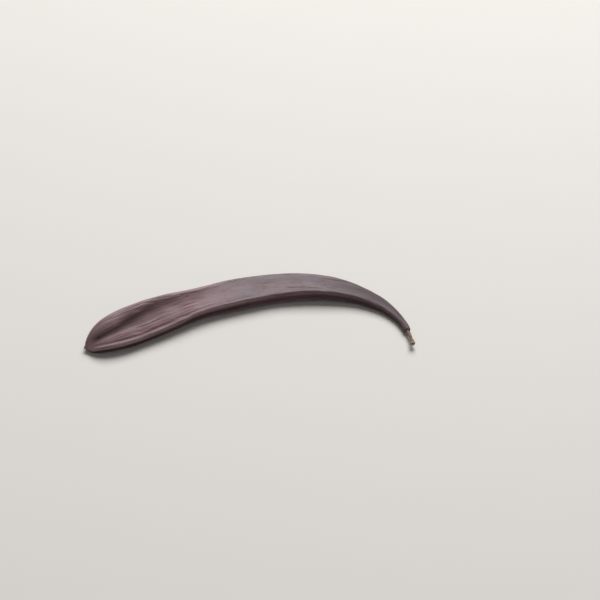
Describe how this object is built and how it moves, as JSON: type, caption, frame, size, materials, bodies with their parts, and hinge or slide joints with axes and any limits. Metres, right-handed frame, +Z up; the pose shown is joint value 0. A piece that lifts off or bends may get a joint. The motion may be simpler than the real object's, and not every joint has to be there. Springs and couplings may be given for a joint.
{
  "type": "carob pod",
  "caption": "Ripe dried carob pod: a long flat fruit bent like a sickle, with furrowed seams, low seed swellings and a stub of stalk. It lies on one face as food, seed case or table decoration.",
  "frame": {"origin": "under the middle of the pod's bounding box, on the surface it lies on", "axes": "+X from the tip towards the stalk, +Y towards the outer side of the bend, +Z up from the surface"},
  "size_m": [0.1608, 0.0502, 0.0116],
  "materials": {
    "rind": "dry leathery rind with a satin sheen",
    "stalk_wood": "dry bare wood"
  },
  "bodies": {
    "root": {"pod": "rind", "stalk": "stalk_wood"}
  },
  "joints": []
}
